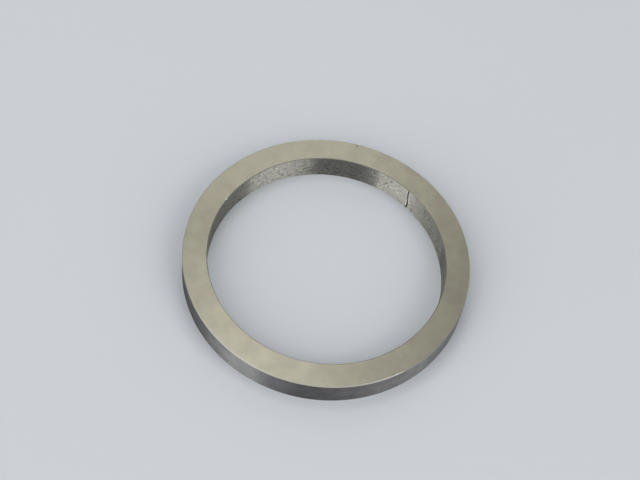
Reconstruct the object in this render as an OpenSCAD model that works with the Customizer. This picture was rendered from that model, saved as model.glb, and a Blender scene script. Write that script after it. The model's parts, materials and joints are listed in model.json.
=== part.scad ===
// Bearing spacer: a plain steel ring that keeps neighbouring bearings a set distance apart.
// One turned piece of near-rectangular section. Its flat faces are ground parallel, its outer wall
// is finish turned to slide in a housing, and its rougher bore clears the shaft.
// Millimetres. The origin is the centre of the lower face, and +Z is the axis of the ring.

/* [Ring] */
// Outer diameter, which slides in the housing of the bearings
outer_d = 62; // [40:0.5:120]
// Width of the ring from its bore to its outer wall
wall = 5.3; // [3:0.1:12]
// Height between the ground faces, which is the distance that the bearings are held apart
height = 6.4; // [3:0.1:20]

/* [Edges] */
// Size of the 45 degree breaks where the faces meet the outer wall
outer_break = 0.2; // [0.05:0.05:0.8]
// Size of the 45 degree breaks where the faces meet the bore
bore_break = 0.15; // [0.05:0.05:0.8]

/* [Score in the bore] */
// Place of the score round the ring, from +X towards +Y, in degrees
score_angle = 53.4; // [0:0.1:359.9]
// Lean of the score away from the axis of the ring, in degrees
score_lean = 4; // [-20:1:20]
// Width of the score at the surface of the bore
score_w = 0.34; // [0.1:0.02:0.6]
// Depth of the score into the wall
score_depth = 0.2; // [0.05:0.05:0.6]

/* [Hidden] */

outer_r = outer_d / 2;
bore_r = outer_r - wall;

// The cutter for the score runs past both faces, also where it leans
score_cut_l = 2 * height;

// Warm grey of the ground steel
steel_grey = [0.67, 0.65, 0.59];

$fn = 180;

// Section of the ring at one side of its axis: a rectangle with its four corners broken
module ring_section() {
    polygon([
        [bore_r + bore_break, 0],
        [outer_r - outer_break, 0],
        [outer_r, outer_break],
        [outer_r, height - outer_break],
        [outer_r - outer_break, height],
        [bore_r + bore_break, height],
        [bore_r, height - bore_break],
        [bore_r, bore_break]
    ]);
}

// V-shaped cutter along the bore: its ridge lies score_depth inside the wall, its sides are
// score_w apart at the surface of the bore, and it opens on towards the axis
module score_cutter() {
    rotate([0, 0, score_angle])
        translate([bore_r, 0, height / 2])
            rotate([-score_lean, 0, 0])
                linear_extrude(height = score_cut_l, center = true)
                    polygon([
                        [score_depth, 0],
                        [-score_depth, score_w],
                        [-score_depth, -score_w]
                    ]);
}

module spacer_ring() {
    color(steel_grey)
        difference() {
            rotate_extrude() ring_section();
            score_cutter();
        }
}

spacer_ring();
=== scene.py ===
import json
import math

import bpy
import numpy as np
from mathutils import Matrix, Vector


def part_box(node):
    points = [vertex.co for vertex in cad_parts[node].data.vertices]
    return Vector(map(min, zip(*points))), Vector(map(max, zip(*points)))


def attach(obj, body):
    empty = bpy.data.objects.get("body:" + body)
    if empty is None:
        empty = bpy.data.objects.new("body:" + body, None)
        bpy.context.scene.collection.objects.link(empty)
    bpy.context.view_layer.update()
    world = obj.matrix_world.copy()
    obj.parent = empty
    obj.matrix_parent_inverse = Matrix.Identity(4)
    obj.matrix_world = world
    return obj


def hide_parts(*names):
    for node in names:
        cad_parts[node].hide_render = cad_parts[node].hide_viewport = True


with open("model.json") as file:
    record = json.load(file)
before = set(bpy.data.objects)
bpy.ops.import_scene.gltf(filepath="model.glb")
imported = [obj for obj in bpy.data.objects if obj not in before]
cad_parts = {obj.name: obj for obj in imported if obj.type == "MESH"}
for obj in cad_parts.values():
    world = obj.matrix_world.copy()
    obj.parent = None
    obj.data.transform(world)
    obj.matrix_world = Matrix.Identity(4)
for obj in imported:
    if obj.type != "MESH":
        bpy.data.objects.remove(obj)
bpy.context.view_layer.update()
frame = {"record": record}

# The spacer ring: one steel ring of near-rectangular section, turned from bar or tube.
# Its two faces are ground, its outer wall is finish turned, and its bore is left with torn tool
# marks and one score. It lies loose on its lower face.
MM = 0.001
mounts = {m["name"]: m for m in frame["record"]["mounts"]}
ring_low, ring_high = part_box("spacer_ring")
height = ring_high.z - ring_low.z
outer_r = mounts["outer_wall"]["dims"]["r_mm"] * MM
bore_r = mounts["bore"]["dims"]["r_mm"] * MM
outer_break = (height - mounts["outer_wall"]["dims"]["length_mm"] * MM) / 2
bore_break = (height - mounts["bore"]["dims"]["length_mm"] * MM) / 2
mid_wall = (outer_r + bore_r) / 2

# The score in the bore, as the solid has it, and the ridge of metal pushed up along both sides
SCORE_ANGLE = math.radians(53.4)
SCORE_LEAN = math.radians(4)
SCORE_W = 0.34 * MM
SCORE_DEPTH = 0.2 * MM
SCORE_LIP = 0.02 * MM
# How far it waves to either side of a straight line, and the length of one wave
SCORE_STRAY = 0.09 * MM
SCORE_WAVE = 4.4 * MM
# The length of its wide and narrow parts, how far below the upper edge it narrows, and the seed
SCORE_PART = 1.2 * MM
SCORE_NARROWING = 0.9 * MM
SCORE_SEED = 44.75

# Steps of the mesh: round the ring, up the bore, up the outer wall, across a face and an edge break
ROUND_STEPS = 1440
BORE_STEPS = 34
OUTER_STEPS = 6
FACE_STEPS = 8
BREAK_STEPS = 2
# Share by which the steps round the ring are closer together at the score
CROWDING = 0.6

# Depth of the torn tool marks in the bore, their length round it, how many times longer than high
# they are, and the seed
TEAR_DEPTH = 0.012 * MM
TEAR_SIZE = 0.5 * MM
TEAR_FLATNESS = 2.0
TEAR_SEED = 7.0

# Knocks on the edges and pits in the bore: angle in degrees, then radius, height, size and depth in mm,
# and the share of bright bare metal in the middle
outer_mm, bore_mm, height_mm = outer_r / MM, bore_r / MM, height / MM
DENTS = [
    (158, bore_mm, height_mm, 1.1, 0.16, 0.8),
    (80, bore_mm, height_mm, 0.6, 0.10, 0.5),
    (86, outer_mm, height_mm, 1.2, 0.14, 0.0),
    (200, outer_mm, height_mm, 0.6, 0.12, 0.3),
    (303, outer_mm, height_mm, 0.8, 0.11, 0.6),
    (306.5, outer_mm, height_mm, 1.0, 0.13, 0.7),
    (309.5, outer_mm, height_mm, 0.7, 0.09, 0.6),
    (44.4, bore_mm, 4.9, 0.4, 0.10, 0.0),
    (65, bore_mm, 0.7, 0.5, 0.10, 0.0),
]

# Numbers that the sweep writes on its faces to say which finish each one gets
FINISH_NUMBERS = {"edge": 0, "face": 1, "outer": 2, "bore": 3}
# How level a surface lies, from 0 for upright to 1: walls are below the first, faces above the second
WALL_LEVEL = 0.3
FACE_LEVEL = 0.9
# Edges that turn by more than this stay crisp
CRISP_CORNER = math.radians(30)

# Stretches round the ring that get painted shade or painted highlights, or are left without them: middle,
# half the span and fade of the ends, in degrees
WALL_SHADE_STRETCHES = [(212, 13, 2), (299, 12, 2)]
WALL_SHEEN_STRETCHES = [(245, 7, 2), (331, 14, 2)]
BORE_UNSHADED_STRETCHES = [(45, 27, 2), (123.5, 18, 2), (205, 20, 9), (285, 24, 9)]
BORE_DEEP_SHADE_STRETCH = [(79.5, 6.5, 2)]
EDGE_NO_SHEEN_STRETCH = [(330, 20, 2)]
# Their ragged ends: how far these wander round the ring, and the size of one wander
RAGGED_REACH = math.radians(10)
RAGGED_SIZE = 1.5 * MM

# Dark and pale tones of each finish, and the tones laid over it: painted shade, painted highlights, darker
# pits and score, and bright bare metal
FACE_DARK = (0.319, 0.301, 0.243)
FACE_PALE = (0.415, 0.399, 0.311)
WALL_DARK = (0.129, 0.129, 0.135)
WALL_PALE = (0.299, 0.296, 0.293)
WALL_PAINTED_SHADE = (0.06, 0.06, 0.06)
WALL_PAINTED_SHEEN = (0.41, 0.407, 0.4)
BORE_DARK = (0.195, 0.193, 0.182)
BORE_PALE = (0.645, 0.632, 0.556)
BORE_PAINTED_SHADE = (0.07, 0.07, 0.07)
BORE_DEEP_SHADE = (0.06, 0.06, 0.065)
LIP_BURNISH_AND_HIGHLIGHT = (0.74, 0.73, 0.65)
PIT_DARK = (0.05, 0.048, 0.045)
SCORE_BLACK = (0.012, 0.011, 0.008)
EDGE_DARK = (0.24, 0.235, 0.21)
EDGE_PALE = (0.42, 0.41, 0.37)
EDGE_BORE_SHADE = (0.09, 0.088, 0.08)
EDGE_PAINTED_SHEEN = (0.66, 0.645, 0.56)
BARE_METAL = (0.82, 0.81, 0.74)
# A dull steel gains less shine than a polished one where it is seen from low down
GLANCING_SHINE = (0.75, 0.75, 0.75, 1)
QUARTER_TURN = 0.25


def put(tree, kind, *feeds, out=0, **settings):
    """Adds a node, feeds its inputs in order with sockets or plain values, and gives one of its outputs."""
    node = tree.nodes.new(kind)
    for name, value in settings.items():
        setattr(node, name, value)
    for socket, feed in zip([s for s in node.inputs if s.enabled], feeds):
        if isinstance(feed, bpy.types.NodeSocket):
            tree.links.new(feed, socket)
        elif feed is not None:
            socket.default_value = feed
    return [s for s in node.outputs if s.enabled][out]


def calc(tree, operation, *feeds):
    """One step of arithmetic."""
    return put(tree, "ShaderNodeMath", *feeds, operation=operation)


def ease(tree, value, start, end, low=0.0, high=1.0):
    """Goes smoothly from low, where value is at start, to high, where it is at end."""
    return put(tree, "ShaderNodeMapRange", value, start, end, low, high, interpolation_type="SMOOTHSTEP")


def blend(tree, share, first, second):
    """Mixes two numbers, with that share of the second."""
    return put(tree, "ShaderNodeMix", share, first, second, data_type="FLOAT")


def lengthen(tree, way, length):
    """A direction times a length."""
    scaled = put(tree, "ShaderNodeVectorMath", way, operation="SCALE")
    tree.links.new(length, scaled.node.inputs["Scale"])
    return scaled


def note(tree, geometry, name, value, domain="POINT"):
    """Writes a number on the geometry under that name."""
    return put(tree, "GeometryNodeStoreNamedAttribute", geometry, None, name, value, data_type="FLOAT",
               domain=domain)


def noted(tree, name):
    """Reads a number that was written on the geometry."""
    return put(tree, "GeometryNodeInputNamedAttribute", name, data_type="FLOAT")


def from_axis(tree, x, y):
    """The distance from the axis of the ring."""
    return calc(tree, "SQRT", calc(tree, "MULTIPLY_ADD", x, x, calc(tree, "MULTIPLY", y, y)))


def outward_at(degrees):
    """The direction out from the axis at that angle round the ring."""
    return Vector((math.cos(math.radians(degrees)), math.sin(math.radians(degrees)), 0))


def section_points():
    """The ring's section as a closed line, up the bore, out over the upper face, down and back."""
    runs = [
        ((bore_r, bore_break), BORE_STEPS, False),
        ((bore_r, height - bore_break), BREAK_STEPS, False),
        ((bore_r + bore_break, height), FACE_STEPS, True),
        ((outer_r - outer_break, height), BREAK_STEPS, False),
        ((outer_r, height - outer_break), OUTER_STEPS, True),
        ((outer_r, outer_break), BREAK_STEPS, False),
        ((outer_r - outer_break, 0.0), FACE_STEPS, True),
        ((bore_r + bore_break, 0.0), BREAK_STEPS, False),
    ]
    points = []
    for i, (start, steps, crowded_ends) in enumerate(runs):
        end = runs[(i + 1) % len(runs)][0]
        for k in range(steps):
            share = k / steps
            if crowded_ends:
                share = (1 - math.cos(math.pi * share)) / 2
            points.append([a + share * (b - a) for a, b in zip(start, end)])
    return points


def sweep_section(tree, given):
    """Sweeps the section round the axis, and notes on each face which finish it gets."""
    # The path is a circle whose points crowd together at the score
    circle = put(tree, "GeometryNodeCurvePrimitiveCircle", given["Steps round"], given["Bore radius"],
                 mode="RADIUS")
    index = put(tree, "GeometryNodeInputIndex")
    turn = calc(tree, "MULTIPLY_ADD", calc(tree, "DIVIDE", index, given["Steps round"]), 2.0, -1.0)
    even = calc(tree, "MULTIPLY", turn, 1 - CROWDING)
    cubed = calc(tree, "MULTIPLY", calc(tree, "POWER", turn, 3.0), CROWDING)
    angle = calc(tree, "MULTIPLY_ADD", calc(tree, "ADD", even, cubed), math.pi, given["Score angle"])
    spot = put(tree, "ShaderNodeCombineXYZ", calc(tree, "COSINE", angle), calc(tree, "SINE", angle))
    path = put(tree, "GeometryNodeSetPosition", circle, None, lengthen(tree, spot, given["Bore radius"]))
    path = note(tree, path, "turn", turn)

    section = put(tree, "GeometryNodeMeshToCurve", given["Section"])
    section = note(tree, section, "step", put(tree, "GeometryNodeSplineParameter", out=2))
    ring = put(tree, "GeometryNodeCurveToMesh", path, section)

    # The finish goes by which way a face looks and which side of the wall it is on
    x, y, _ = put(tree, "ShaderNodeSeparateXYZ", put(tree, "GeometryNodeInputPosition")).node.outputs
    radius = from_axis(tree, x, y)
    upward = put(tree, "ShaderNodeSeparateXYZ", put(tree, "GeometryNodeInputNormal"), out=2)
    level = calc(tree, "ABSOLUTE", upward)
    outside = calc(tree, "GREATER_THAN", radius, mid_wall)
    wall = blend(tree, outside, FINISH_NUMBERS["bore"], FINISH_NUMBERS["outer"])
    finish = blend(tree, calc(tree, "LESS_THAN", level, WALL_LEVEL), FINISH_NUMBERS["edge"], wall)
    finish = blend(tree, calc(tree, "GREATER_THAN", level, FACE_LEVEL), finish, FINISH_NUMBERS["face"])
    ring = note(tree, ring, "finish", finish, domain="FACE")

    # Corners stay crisp where two turned surfaces meet
    ring = put(tree, "GeometryNodeSetShadeSmooth", ring, None, True, domain="FACE")
    corner = calc(tree, "GREATER_THAN", put(tree, "GeometryNodeInputMeshEdgeAngle"), CRISP_CORNER)
    return put(tree, "GeometryNodeSetShadeSmooth", ring, corner, False, domain="EDGE")


def work_bore(tree, given, ring):
    """Cuts the score and tears the wall of the bore, and notes the depth of both for the finish."""
    x, y, z = put(tree, "ShaderNodeSeparateXYZ", put(tree, "GeometryNodeInputPosition")).node.outputs
    radius = from_axis(tree, x, y)

    # Columns of the mesh near the score lean and stray with it
    turn = noted(tree, "turn")
    near_score = ease(tree, calc(tree, "ABSOLUTE", turn), 0.02, 0.2, 1.0, 0.0)
    rise = calc(tree, "SUBTRACT", z, height / 2)
    slide = calc(tree, "MULTIPLY", rise, calc(tree, "TANGENT", given["Score lean"]))
    wave = calc(tree, "SINE", calc(tree, "MULTIPLY", rise, 2 * math.pi / SCORE_WAVE))
    slide = calc(tree, "MULTIPLY_ADD", wave, given["Score stray"], slide)
    slide = calc(tree, "MULTIPLY", slide, near_score)
    slide = calc(tree, "DIVIDE", slide, given["Bore radius"])
    leaned = put(tree, "ShaderNodeVectorRotate", put(tree, "GeometryNodeInputPosition"), None, slide,
                 rotation_type="Z_AXIS")
    ring = put(tree, "GeometryNodeSetPosition", ring, None, leaned)

    # The score is a V of uneven width that narrows at the upper edge, with a lip along both sides
    even_turn = calc(tree, "MULTIPLY", turn, (1 - CROWDING) * math.pi)
    across = calc(tree, "MULTIPLY", calc(tree, "ABSOLUTE", even_turn), given["Bore radius"])
    along = put(tree, "ShaderNodeCombineXYZ", 0.0, 0.0, z)
    uneven = put(tree, "ShaderNodeTexNoise", along, given["Score seed"], 1 / SCORE_PART, 2.0, 0.5,
                 noise_dimensions="4D")
    half_width = calc(tree, "MULTIPLY", given["Score width"], ease(tree, uneven, 0.3, 0.65, 0.25, 0.53))
    narrowing = ease(tree, z, height - SCORE_NARROWING, height, 1.0, 0.4)
    half_width = calc(tree, "MULTIPLY", half_width, narrowing)
    across = calc(tree, "DIVIDE", across, half_width)
    groove = calc(tree, "MAXIMUM", calc(tree, "SUBTRACT", 1.0, across), 0.0)
    lip = calc(tree, "MULTIPLY", ease(tree, across, 1.0, 1.5), ease(tree, across, 1.8, 6.0, 1.0, 0.0))
    # Torn tool marks are pits, longer round the bore than up it
    stretched = put(tree, "ShaderNodeCombineXYZ", x, y, calc(tree, "MULTIPLY", z, TEAR_FLATNESS))
    torn = put(tree, "ShaderNodeTexNoise", stretched, given["Tear seed"],
               calc(tree, "DIVIDE", 1.0, given["Tear size"]), 3.0, 0.6, noise_dimensions="4D")
    torn = ease(tree, torn, 0.35, 0.75)

    # All of this is on the wall of the bore, and none of it on the faces
    past_bore = calc(tree, "SUBTRACT", radius, given["Bore radius"])
    in_bore = ease(tree, past_bore, 0.0, bore_break * 1.5, 1.0, 0.0)
    groove = calc(tree, "MULTIPLY", groove, in_bore)
    torn = calc(tree, "MULTIPLY", torn, in_bore)
    depth = calc(tree, "MULTIPLY", groove, given["Score depth"])
    depth = calc(tree, "MULTIPLY_ADD", torn, given["Tear depth"], depth)
    lip = calc(tree, "MULTIPLY", lip, in_bore)
    depth = calc(tree, "SUBTRACT", depth, calc(tree, "MULTIPLY", lip, given["Score lip"]))
    ring = note(tree, ring, "groove", groove)
    ring = note(tree, ring, "lip", lip)
    ring = note(tree, ring, "torn", torn)
    out_x = calc(tree, "DIVIDE", x, radius)
    out_y = calc(tree, "DIVIDE", y, radius)
    outward = put(tree, "ShaderNodeCombineXYZ", out_x, out_y)
    return put(tree, "GeometryNodeSetPosition", ring, None, None, lengthen(tree, outward, depth))


def knock_dents(tree, ring):
    """Presses the metal in round the middle of each dent, and notes where it is left bare."""
    place = put(tree, "GeometryNodeInputPosition")
    bared = 0.0
    moves = []
    for degrees, r_mm, z_mm, size_mm, depth_mm, bright in DENTS:
        way = outward_at(degrees)
        centre = way * r_mm * MM + Vector((0, 0, z_mm * MM))
        inward = -way if r_mm * MM > mid_wall else way
        inward = inward - Vector((0, 0, 1)) if z_mm == height_mm else inward
        away = put(tree, "ShaderNodeVectorMath", place, centre, operation="DISTANCE")
        bared = calc(tree, "MAXIMUM", bared, ease(tree, away, 0.0, size_mm * MM / 2, bright, 0.0))
        press = ease(tree, away, 0.0, size_mm * MM / 2, depth_mm * MM, 0.0)
        moves.append(lengthen(tree, inward.normalized(), press))
    ring = note(tree, ring, "bared", bared)
    for move in moves:
        ring = put(tree, "GeometryNodeSetPosition", ring, None, None, move)
    return ring


def ring_tree(finishes):
    """The tree that makes the ring from its section, and the values of its inputs by name."""
    tree = bpy.data.node_groups.new("turned_ring", "GeometryNodeTree")
    tree.interface.new_socket("Section", in_out="INPUT", socket_type="NodeSocketGeometry")
    tree.interface.new_socket("Ring", in_out="OUTPUT", socket_type="NodeSocketGeometry")
    sizes = {
        "Steps round": ("NodeSocketInt", ROUND_STEPS),
        "Bore radius": ("NodeSocketFloat", bore_r),
        "Score angle": ("NodeSocketFloat", SCORE_ANGLE),
        "Score lean": ("NodeSocketFloat", SCORE_LEAN),
        "Score width": ("NodeSocketFloat", SCORE_W),
        "Score depth": ("NodeSocketFloat", SCORE_DEPTH),
        "Score lip": ("NodeSocketFloat", SCORE_LIP),
        "Score stray": ("NodeSocketFloat", SCORE_STRAY),
        "Score seed": ("NodeSocketFloat", SCORE_SEED),
        "Tear depth": ("NodeSocketFloat", TEAR_DEPTH),
        "Tear size": ("NodeSocketFloat", TEAR_SIZE),
        "Tear seed": ("NodeSocketFloat", TEAR_SEED),
    }
    for name, (kind, _) in sizes.items():
        tree.interface.new_socket(name, in_out="INPUT", socket_type=kind)
    given = tree.nodes.new("NodeGroupInput").outputs
    ring = sweep_section(tree, given)
    ring = work_bore(tree, given, ring)
    ring = knock_dents(tree, ring)
    ring = put(tree, "GeometryNodeRealizeInstances", ring)
    for name, number in FINISH_NUMBERS.items():
        chosen = calc(tree, "COMPARE", noted(tree, "finish"), number, 0.5)
        ring = put(tree, "GeometryNodeSetMaterial", ring, chosen, finishes[name])
    tree.links.new(ring, tree.nodes.new("NodeGroupOutput").inputs[0])
    return tree, {name: value for name, (_, value) in sizes.items()}


def new_steel(name, roughness, stretch):
    """A bare dull steel whose gloss is stretched up and down by round tool marks, as far as stretch says."""
    steel = bpy.data.materials.new(name)
    steel.use_nodes = True
    tree = steel.node_tree
    shader = tree.nodes["Principled BSDF"]
    shader.inputs["Metallic"].default_value = 1.0
    shader.inputs["Roughness"].default_value = roughness
    shader.inputs["Specular Tint"].default_value = GLANCING_SHINE
    shader.inputs["Anisotropic"].default_value = stretch
    shader.inputs["Anisotropic Rotation"].default_value = QUARTER_TURN
    if stretch:
        round_way = put(tree, "ShaderNodeTangent", direction_type="RADIAL", axis="Z")
        tree.links.new(round_way, shader.inputs["Tangent"])
    place = put(tree, "ShaderNodeTexCoord", out=3)
    return steel, tree, shader, place


def grain(tree, place, size, detail=2.0, stretch=(1, 1, 1)):
    """Noise whose lumps are about size metres across, stretched as told along X, Y and Z."""
    scaled = put(tree, "ShaderNodeMapping", place, None, None, [1 / s for s in stretch])
    return put(tree, "ShaderNodeTexNoise", scaled, 1 / size, detail, 0.6)


def round_lines(tree, place, pitch, run):
    """Lines that run round the ring, pitch metres apart across it and about run radians long."""
    x, y, z = put(tree, "ShaderNodeSeparateXYZ", place).node.outputs
    radius = from_axis(tree, x, y)
    spread = calc(tree, "DIVIDE", 1 / run, radius)
    wound = put(
        tree,
        "ShaderNodeCombineXYZ",
        calc(tree, "MULTIPLY", x, spread),
        calc(tree, "MULTIPLY", y, spread),
        calc(tree, "DIVIDE", calc(tree, "ADD", z, radius), pitch),
    )
    return put(tree, "ShaderNodeTexNoise", wound, 1.0, 2.0, 0.6)


def stretches(tree, place, spans):
    """How far each place on the ring is inside one of those stretches, with ragged ends."""
    x, y, _ = put(tree, "ShaderNodeSeparateXYZ", place).node.outputs
    radius = from_axis(tree, x, y)
    ragged = calc(tree, "SUBTRACT", grain(tree, place, RAGGED_SIZE), 0.5)
    covered = 0.0
    for middle, reach, fade in spans:
        facing = put(tree, "ShaderNodeVectorMath", place, outward_at(middle), operation="DOT_PRODUCT")
        apart = calc(tree, "ARCCOSINE", calc(tree, "MINIMUM", calc(tree, "DIVIDE", facing, radius), 1.0))
        apart = calc(tree, "MULTIPLY_ADD", ragged, RAGGED_REACH, apart)
        inside = ease(tree, apart, math.radians(reach - fade), math.radians(reach + fade), 1.0, 0.0)
        covered = calc(tree, "MAXIMUM", covered, inside)
    return covered


def tone(tree, share, dark, pale):
    """A colour from dark to pale, by share."""
    return put(tree, "ShaderNodeMix", share, (*dark, 1), (*pale, 1), data_type="RGBA")


def cover_with(tree, share, colour, cover_colour):
    """A colour with another laid over it, by share: bare metal, darker marks, painted shade or painted
    highlight.
    """
    return put(tree, "ShaderNodeMix", share, colour, (*cover_colour, 1), data_type="RGBA")


def knock_bright(tree, colour):
    """A colour with bright bare metal where an edge was knocked."""
    bared = put(tree, "ShaderNodeAttribute", attribute_name="bared", out=2)
    return cover_with(tree, ease(tree, bared, 0.1, 0.7), colour, BARE_METAL)


def emboss(tree, shader, share, depth):
    """Raises and sinks the surface by share, depth metres in all."""
    relief = put(tree, "ShaderNodeBump").node
    relief.inputs["Distance"].default_value = depth
    tree.links.new(share, relief.inputs["Height"])
    tree.links.new(relief.outputs[0], shader.inputs["Normal"])


def ground_face():
    """Dull ground steel: a warm grey with a fine grain, faint grinding lines and soft clouds."""
    steel, tree, shader, place = new_steel("ground_face", 0.36, 0.25)
    fine = grain(tree, place, 0.12 * MM)
    lines = round_lines(tree, place, 0.09 * MM, 0.25)
    clouds = ease(tree, grain(tree, place, 4 * MM, detail=4.0), 0.25, 0.75)
    mottle = blend(tree, 0.6, blend(tree, 0.5, fine, lines), clouds)
    steel_tone = knock_bright(tree, tone(tree, mottle, FACE_DARK, FACE_PALE))
    tree.links.new(steel_tone, shader.inputs["Base Color"])
    tree.links.new(ease(tree, fine, 0.0, 1.0, 0.33, 0.39), shader.inputs["Roughness"])
    emboss(tree, shader, calc(tree, "ADD", fine, lines), 0.004 * MM)
    return steel


def turned_wall():
    """Smooth turned steel: darker, with fine lines round it that draw its gloss out up and down, painted
    shade in two stretches and painted highlights in two others.
    """
    steel, tree, shader, place = new_steel("turned_wall", 0.5, 0.95)
    lines = round_lines(tree, place, 0.08 * MM, 0.6)
    clouds = ease(tree, grain(tree, place, 2.5 * MM, detail=3.0), 0.25, 0.75)
    share = blend(tree, 0.4, lines, clouds)
    steel_tone = tone(tree, share, WALL_DARK, WALL_PALE)
    # Painted shade: the outer wall is darkened in two stretches at the edges of the lamps' gloss, which
    # narrows it
    unlit_stretch = stretches(tree, place, WALL_SHADE_STRETCHES)
    steel_tone = cover_with(tree, calc(tree, "MULTIPLY", unlit_stretch, 0.25), steel_tone, WALL_PAINTED_SHADE)
    # Painted highlight: the outer wall is painted paler where the lamps' gloss on it is brightest
    painted_sheen = stretches(tree, place, WALL_SHEEN_STRETCHES)
    steel_tone = cover_with(tree, calc(tree, "MULTIPLY", painted_sheen, 0.3), steel_tone, WALL_PAINTED_SHEEN)
    tree.links.new(steel_tone, shader.inputs["Base Color"])
    tree.links.new(ease(tree, lines, 0.0, 1.0, 0.46, 0.54), shader.inputs["Roughness"])
    emboss(tree, shader, lines, 0.02 * MM)
    return steel


def torn_bore():
    """Rough bored steel: dark, with lines round it and bright torn specks, darker in the pits and near black
    in the score, painted shade outside four stretches, and pale lips that are partly a painted highlight.
    """
    steel, tree, shader, place = new_steel("torn_bore", 0.5, 0.99)
    lines = round_lines(tree, place, 0.12 * MM, 0.3)
    tears = grain(tree, place, 0.6 * MM, detail=2.0, stretch=(1, 1, 0.7))
    clumps = ease(tree, grain(tree, place, 2.5 * MM), 0.35, 0.65)
    share = blend(tree, 0.7, lines, tears)
    rough = blend(tree, clumps, 0.5, share)
    steel_tone = tone(tree, ease(tree, rough, 0.36, 0.64), BORE_DARK, BORE_PALE)
    # Painted shade: the bore is darkened everywhere but in four stretches, two of them where the lamps' gloss
    # falls on it
    unshaded = stretches(tree, place, BORE_UNSHADED_STRETCHES)
    painted_shade_share = calc(tree, "SUBTRACT", 1.0, unshaded)
    steel_tone = cover_with(tree, calc(tree, "MULTIPLY", painted_shade_share, 0.36), steel_tone, BORE_PAINTED_SHADE)
    # Painted shade: one narrow stretch of the bore is darker still, giving the lamps' gloss a sharp end
    deep_shade = stretches(tree, place, BORE_DEEP_SHADE_STRETCH)
    steel_tone = cover_with(tree, calc(tree, "MULTIPLY", deep_shade, 0.3), steel_tone, BORE_DEEP_SHADE)
    # The lips of the score are painted pale: burnished metal, and a painted highlight where they catch the
    # lamps
    lip = put(tree, "ShaderNodeAttribute", attribute_name="lip", out=2)
    lip_burnish_and_highlight = calc(tree, "MULTIPLY", lip, ease(tree, tears, 0.4, 0.65, 0.0, 0.7))
    steel_tone = cover_with(tree, lip_burnish_and_highlight, steel_tone, LIP_BURNISH_AND_HIGHLIGHT)
    # The bore is darker down in its pits, and near black inside the score
    pits = put(tree, "ShaderNodeAttribute", attribute_name="torn", out=2)
    steel_tone = cover_with(tree, ease(tree, pits, 0.3, 1.0, 0.0, 0.3), steel_tone, PIT_DARK)
    groove = put(tree, "ShaderNodeAttribute", attribute_name="groove", out=2)
    steel_tone = cover_with(tree, ease(tree, groove, 0.0, 0.4), steel_tone, SCORE_BLACK)
    tree.links.new(steel_tone, shader.inputs["Base Color"])
    tree.links.new(ease(tree, tears, 0.0, 1.0, 0.46, 0.54), shader.inputs["Roughness"])
    emboss(tree, shader, blend(tree, 0.35, lines, rough), 0.04 * MM)
    return steel


def broken_edge():
    """The edge breaks: uneven, with a painted pale sheen outside but for one stretch, and darkened with
    painted shade at the bore.
    """
    steel, tree, shader, place = new_steel("broken_edge", 0.62, 0.0)
    marks = grain(tree, place, 0.3 * MM, detail=3.0)
    x, y, _ = put(tree, "ShaderNodeSeparateXYZ", place).node.outputs
    radius = from_axis(tree, x, y)
    steel_tone = tone(tree, marks, EDGE_DARK, EDGE_PALE)
    # Painted shade: the breaks at the bore are darkened to keep the lamps' glint off them
    at_bore = calc(tree, "LESS_THAN", radius, mid_wall)
    steel_tone = cover_with(tree, calc(tree, "MULTIPLY", at_bore, 0.3), steel_tone, EDGE_BORE_SHADE)
    # Painted highlight: the outer breaks are painted pale as if catching the lamps, but for one stretch and
    # at the bore
    unlit_stretch = calc(tree, "MAXIMUM", stretches(tree, place, EDGE_NO_SHEEN_STRETCH), at_bore)
    steel_tone = cover_with(tree, ease(tree, unlit_stretch, 0.0, 1.0, 0.6, 0.0), steel_tone, EDGE_PAINTED_SHEEN)
    tree.links.new(knock_bright(tree, steel_tone), shader.inputs["Base Color"])
    tree.links.new(ease(tree, marks, 0.0, 1.0, 0.56, 0.68), shader.inputs["Roughness"])
    emboss(tree, shader, marks, 0.01 * MM)
    return steel


def lay_out_skin(mesh, points):
    """Unrolls the ring's skin into a map of its own, with lengths of it laid one above the other."""
    LENGTHS = 3
    GAP = 0.01
    corners = np.empty(len(mesh.loops), dtype=np.int32)
    mesh.loops.foreach_get("vertex_index", corners)
    turn = np.empty(len(mesh.vertices), dtype=np.float32)
    mesh.attributes["turn"].data.foreach_get("value", turn)
    step = np.empty(len(mesh.vertices), dtype=np.float32)
    mesh.attributes["step"].data.foreach_get("value", step)

    # Faces that close the ring, or its section, reach on past the last step
    turn = turn[corners].reshape(-1, 4)
    step = step[corners].reshape(-1, 4)
    turn = np.where(turn.max(axis=1, keepdims=True) - turn > 1, turn + 2, turn)
    step = np.where(step.max(axis=1, keepdims=True) - step > len(points) / 2, step + len(points), step)

    outline = np.array(points + points[:1])
    reach = np.concatenate([[0], np.cumsum(np.linalg.norm(np.diff(outline, axis=0), axis=1))])
    up = np.interp(step, np.arange(len(reach)), reach / reach[-1])
    along = ((1 - CROWDING) * turn + CROWDING * turn ** 3 + 1) / 2 * LENGTHS
    length = np.floor(along.min(axis=1, keepdims=True))
    u = GAP + (along - length) * (1 - 2 * GAP)
    v = (length + GAP + up * (1 - 2 * GAP)) / LENGTHS
    mesh.uv_layers.new(name="OFBake").data.foreach_set("uv", np.stack([u, v], axis=-1).ravel())


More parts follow.
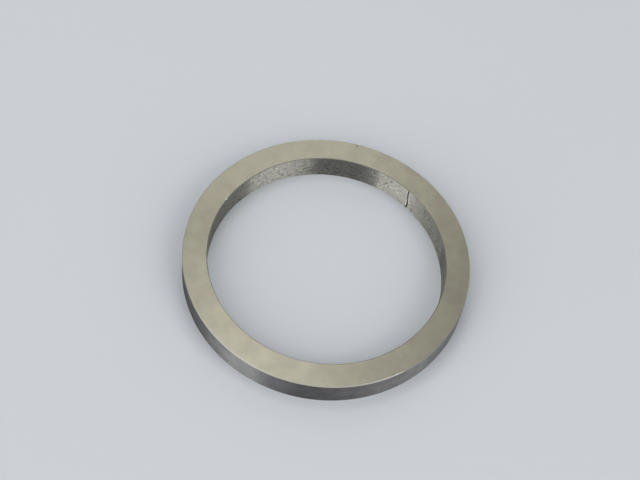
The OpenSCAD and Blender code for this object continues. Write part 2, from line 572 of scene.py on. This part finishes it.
finishes = {"face": ground_face(), "outer": turned_wall(), "bore": torn_bore(), "edge": broken_edge()}
points = section_points()
section = bpy.data.meshes.new("section")
section.from_pydata(
    [(r - bore_r, -z, 0) for r, z in points],
    [(i, (i + 1) % len(points)) for i in range(len(points))],
    [],
)
sweep = bpy.data.objects.new("sweep", section)
bpy.context.scene.collection.objects.link(sweep)
tree, inputs = ring_tree(finishes)
modifier = sweep.modifiers.new("turned_ring", "NODES")
modifier.node_group = tree
for item in tree.interface.items_tree:
    if item.in_out == "INPUT" and item.name in inputs:
        modifier[item.identifier] = inputs[item.name]
evaluated = sweep.evaluated_get(bpy.context.evaluated_depsgraph_get())
mesh = bpy.data.meshes.new_from_object(evaluated)
mesh.name = "spacer_ring_dressed"
# The sweep leaves an empty first slot ahead of the four finishes
mesh.materials.pop(index=0)
bpy.data.objects.remove(sweep)
lay_out_skin(mesh, points)
ring = bpy.data.objects.new("spacer_ring_dressed", mesh)
bpy.context.scene.collection.objects.link(ring)
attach(ring, "root")
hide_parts("spacer_ring")

# The stage: a plain pale floor, and the camera where the photograph was taken from. Large soft lamps
# stand low in front at either side, with weaker ones further round and one higher at the right.
# Small lamps hang above and behind, and broad dim ones stand low behind.
FLOOR_SIZE = 6.0
FLOOR_COLOUR = (0.63, 0.66, 0.70, 1)
FLOOR_ROUGHNESS = 0.9
half = FLOOR_SIZE / 2
floor_corners = [(-half, -half, 0), (half, -half, 0), (half, half, 0), (-half, half, 0)]
floor_mesh = bpy.data.meshes.new("floor")
floor_mesh.from_pydata(floor_corners, [], [(0, 1, 2, 3)])
floor = bpy.data.objects.new("floor", floor_mesh)
bpy.context.scene.collection.objects.link(floor)
paper = bpy.data.materials.new("pale_paper")
paper.use_nodes = True
paper_shader = paper.node_tree.nodes["Principled BSDF"]
paper_shader.inputs["Base Color"].default_value = FLOOR_COLOUR
paper_shader.inputs["Roughness"].default_value = FLOOR_ROUGHNESS
floor.data.materials.append(paper)

WORLD_STRENGTH = 0.11
world = bpy.data.worlds.new("room")
world.use_nodes = True
world.node_tree.nodes["Background"].inputs["Color"].default_value = (1, 1, 1, 1)
world.node_tree.nodes["Background"].inputs["Strength"].default_value = WORLD_STRENGTH
bpy.context.scene.world = world


def soft_lamp(name, azimuth, elevation, distance, width, tall, watts):
    """A soft lamp of that width and height that looks at the ring from that direction."""
    lamp = bpy.data.lights.new(name, "AREA")
    lamp.shape = "RECTANGLE"
    lamp.size = width
    lamp.size_y = tall
    lamp.energy = watts
    holder = bpy.data.objects.new(name, lamp)
    a, e = math.radians(azimuth), math.radians(elevation)
    way = Vector((math.cos(e) * math.cos(a), math.cos(e) * math.sin(a), math.sin(e)))
    holder.location = way * distance
    holder.rotation_euler = way.to_track_quat("Z", "Y").to_euler()
    bpy.context.scene.collection.objects.link(holder)


# Each lamp's azimuth and elevation in degrees, its distance, width and height in metres, and its watts
LAMPS = {
    "left_lamp": (227, 33, 1.2, 0.88, 1.6, 9.6),
    "far_left_lamp": (190, 26, 1.2, 0.6, 0.8, 0.7),
    "right_lamp": (324, 28, 1.2, 0.84, 1.1, 4.5),
    "far_right_lamp": (3, 18, 1.2, 0.68, 0.68, 0.7),
    "upper_right_lamp": (335, 57, 1.2, 0.8, 0.8, 3.1),
    "high_lamp": (111, 75, 0.6, 0.2, 0.2, 0.39),
    "side_lamp": (165, 66, 0.6, 0.3, 0.3, 0.21),
    "back_lamp": (95, 50, 0.6, 0.18, 0.18, 0.2),
    "low_back_left_lamp": (126, 24, 1.5, 1.9, 0.9, 2.3),
    "low_back_right_lamp": (43, 22, 1.5, 1.8, 0.9, 1.8),
}
for lamp_name, lamp_facts in LAMPS.items():
    soft_lamp(lamp_name, *lamp_facts)

# Camera: how far it stands from the centre of the lower face, how high, how it is rolled, and the pixel
# where that centre shows in a picture of 640 by 480
CAMERA_ELEVATION = math.radians(58.79)
CAMERA_DISTANCE = 9.409 * outer_r
CAMERA_ROLL = math.radians(-10.59)
CAMERA_LENS = 75.11
SENSOR_WIDTH = 36.0
PICTURE_WIDTH, PICTURE_HEIGHT = 640, 480
CENTRE_PIXEL = (324.06, 271.02)
focal_pixels = CAMERA_LENS / SENSOR_WIDTH * PICTURE_WIDTH
right = Vector((1, 0, 0))
back = Vector((0, -math.cos(CAMERA_ELEVATION), math.sin(CAMERA_ELEVATION)))
up = back.cross(right)
level_view = Matrix((right, up, back))
rolled_view = Matrix.Rotation(CAMERA_ROLL, 3, "Z") @ level_view
middle = ((PICTURE_WIDTH - 1) / 2, (PICTURE_HEIGHT - 1) / 2)
aim = Vector((CENTRE_PIXEL[0] - middle[0], middle[1] - CENTRE_PIXEL[1], -focal_pixels)).normalized()
aimed_view = Vector((0, 0, -1)).rotation_difference(aim).to_matrix() @ rolled_view
lens = bpy.data.cameras.new("camera")
lens.lens = CAMERA_LENS
lens.sensor_width = SENSOR_WIDTH
lens.clip_start = 0.01
camera = bpy.data.objects.new("camera", lens)
camera.matrix_world = Matrix.Translation(back * CAMERA_DISTANCE) @ aimed_view.transposed().to_4x4()
bpy.context.scene.collection.objects.link(camera)
bpy.context.scene.camera = camera
bpy.context.scene.view_settings.view_transform = "Standard"
